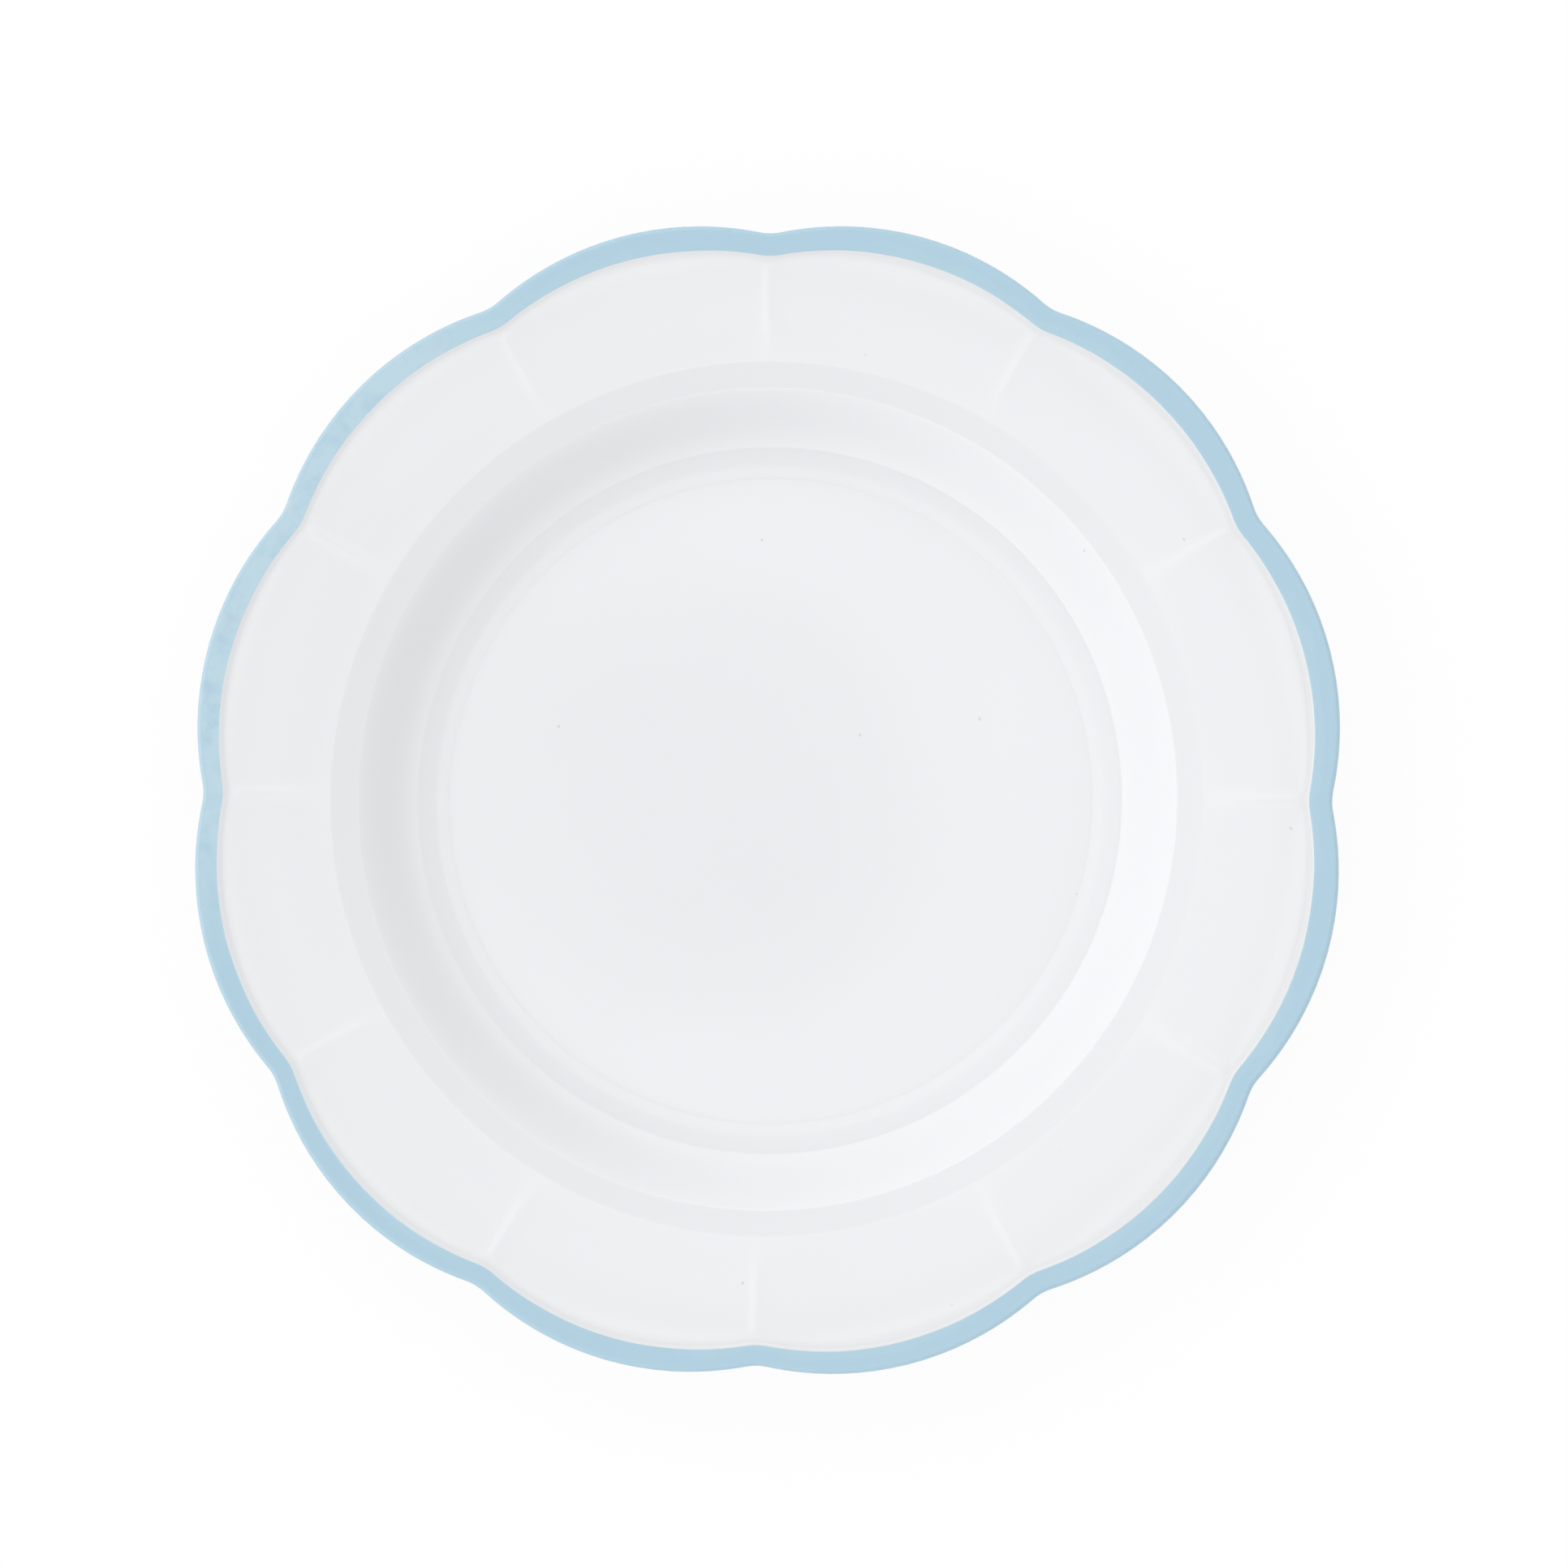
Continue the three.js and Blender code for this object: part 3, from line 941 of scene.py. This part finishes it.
def add_floor(settings):
    """A plain white floor. To the camera it is almost plain white, and keeps the plate's shadow."""
    half = settings.floor_size / 2
    height = -settings.floor_gap
    corners = [(x * half, y * half, height) for x, y in ((-1, -1), (1, -1), (1, 1), (-1, 1))]
    mesh = bpy.data.meshes.new("studio_floor")
    mesh.from_pydata(corners, [], [(0, 1, 2, 3)])
    floor = bpy.data.objects.new("studio_floor", mesh)
    bpy.context.scene.collection.objects.link(floor)

    material = bpy.data.materials.new("studio_floor_white")
    graph = Graph(material)
    seen = graph.ray("Camera") + graph.ray("Glossy") + graph.ray("Transmission")
    paper = graph.node("ShaderNodeBsdfDiffuse", None, {"Color": PAPER})
    glow = graph.node("ShaderNodeEmission", None, {"Color": PLAIN_WHITE, "Strength": 1.0})
    top = graph.node("ShaderNodeMixShader", None, {0: seen * settings.floor_glow, 1: paper, 2: glow})
    below = graph.node("ShaderNodeNewGeometry", None, None, "Backfacing")
    clear = graph.node("ShaderNodeBsdfTransparent")
    surface = graph.node("ShaderNodeMixShader", None, {0: below, 1: top, 2: clear})
    graph.node("ShaderNodeOutputMaterial", None, {"Surface": surface})
    mesh.materials.append(material)


def dome_levels(settings):
    """Light of the dome, as pairs of degrees off its axis and light."""
    lens = ((0, 0), (1.2, 0))
    spot = ((2.2, settings.spot_level), (2.8, settings.spot_level))
    panel = ((3.4, settings.panel_level), (10, settings.panel_level))
    panel_edge = ((14, settings.edge_level), (18.5, settings.edge_level))
    gap = ((22.5, settings.gap_level), (28, settings.gap_level))
    lamps = ((39, settings.lamp_level), (48, settings.lamp_level))
    shade = ((66, settings.shade_level), (70, settings.shade_level))
    walls = ((77, settings.wall_level), (90, settings.wall_level))
    return (*lens, *spot, *panel, *panel_edge, *gap, *lamps, *shade, *walls)


def window_levels(settings):
    """Light that the window, the curtain over it and a reflector overhead add on their side."""
    reflector = ((4, 0), (7, settings.reflector_level), (11, settings.reflector_level), (14, 0))
    curtain = ((27, 0), (37, settings.curtain_level), (54, settings.curtain_level))
    window = ((64, settings.window_level), (70, settings.window_level), (77, 0))
    return (*reflector, *curtain, *window)


def add_dome(settings):
    """The light all round: a panel overhead, a ring of lamps, the walls, and a window at one side."""
    world = bpy.data.worlds.new("studio_dome")
    bpy.context.scene.world = world
    graph = Graph(world)
    toward = graph.node("ShaderNodeTexCoord", None, None, "Generated")
    axis = direction(settings.dome_azimuth, math.pi / 2 - settings.dome_lean)
    off_axis = graph.node("ShaderNodeMath", {"operation": "ARCCOSINE"}, {0: graph.dot(toward, axis)})
    off_axis = off_axis / math.radians(90)
    all_round = graph.ramp(off_axis, dome_levels(settings))
    window = graph.ramp(off_axis, window_levels(settings))
    level_way = graph.stretch(toward, (1, 1, 0))
    level_way = graph.node("ShaderNodeVectorMath", {"operation": "NORMALIZE"}, {0: level_way})
    window_way = direction(settings.window_azimuth, 0)
    facing = graph.step(graph.dot(level_way, window_way), -WINDOW_FADE, WINDOW_FADE)
    strength = (all_round + window * facing) * settings.dome_strength
    background = graph.node("ShaderNodeBackground", None, {"Color": PLAIN_WHITE, "Strength": strength})
    graph.node("ShaderNodeOutputWorld", None, {"Surface": background})


class PLATE_OT_stage(bpy.types.Operator):
    """Build the floor, the light and the camera"""

    bl_idname = "plate.stage"
    bl_label = "Studio stage"

    def execute(self, context):
        settings = context.scene.plate_stage
        add_floor(settings)
        add_dome(settings)
        add_camera(settings)
        context.scene.view_settings.view_transform = "Standard"
        return {"FINISHED"}


BUILDERS = (
    PLATE_OT_ceramic_body,
    PLATE_OT_face_glaze,
    PLATE_OT_rim_band,
    PLATE_OT_back_glaze,
    PLATE_OT_base_glaze,
    PLATE_OT_stage,
)


class PLATE_PT_panel(bpy.types.Panel):
    """The plate's builders and what they build from"""

    bl_idname = "PLATE_PT_panel"
    bl_label = "Charger plate"
    bl_space_type = "VIEW_3D"
    bl_region_type = "UI"
    bl_category = "Plate"

    def draw(self, context):
        for builder in BUILDERS:
            self.layout.operator(builder.bl_idname)
        for group in (context.scene.plate_sizes, context.scene.plate_looks, context.scene.plate_stage):
            box = self.layout.box()
            for name in group.__annotations__:
                box.prop(group, name)


CLASSES = (PlateSizes, GlazeLooks, StageSettings, *BUILDERS, PLATE_PT_panel)


def register():
    for made in CLASSES:
        bpy.utils.register_class(made)
    bpy.types.Scene.plate_sizes = PointerProperty(type=PlateSizes)
    bpy.types.Scene.plate_looks = PointerProperty(type=GlazeLooks)
    bpy.types.Scene.plate_stage = PointerProperty(type=StageSettings)


def unregister():
    del bpy.types.Scene.plate_stage
    del bpy.types.Scene.plate_looks
    del bpy.types.Scene.plate_sizes
    for made in reversed(CLASSES):
        bpy.utils.unregister_class(made)


def main():
    register()
    bpy.ops.plate.ceramic_body()
    bpy.ops.plate.face_glaze()
    bpy.ops.plate.rim_band()
    bpy.ops.plate.back_glaze()
    bpy.ops.plate.base_glaze()
    bpy.ops.plate.stage()


if __name__ == "__main__":
    main()
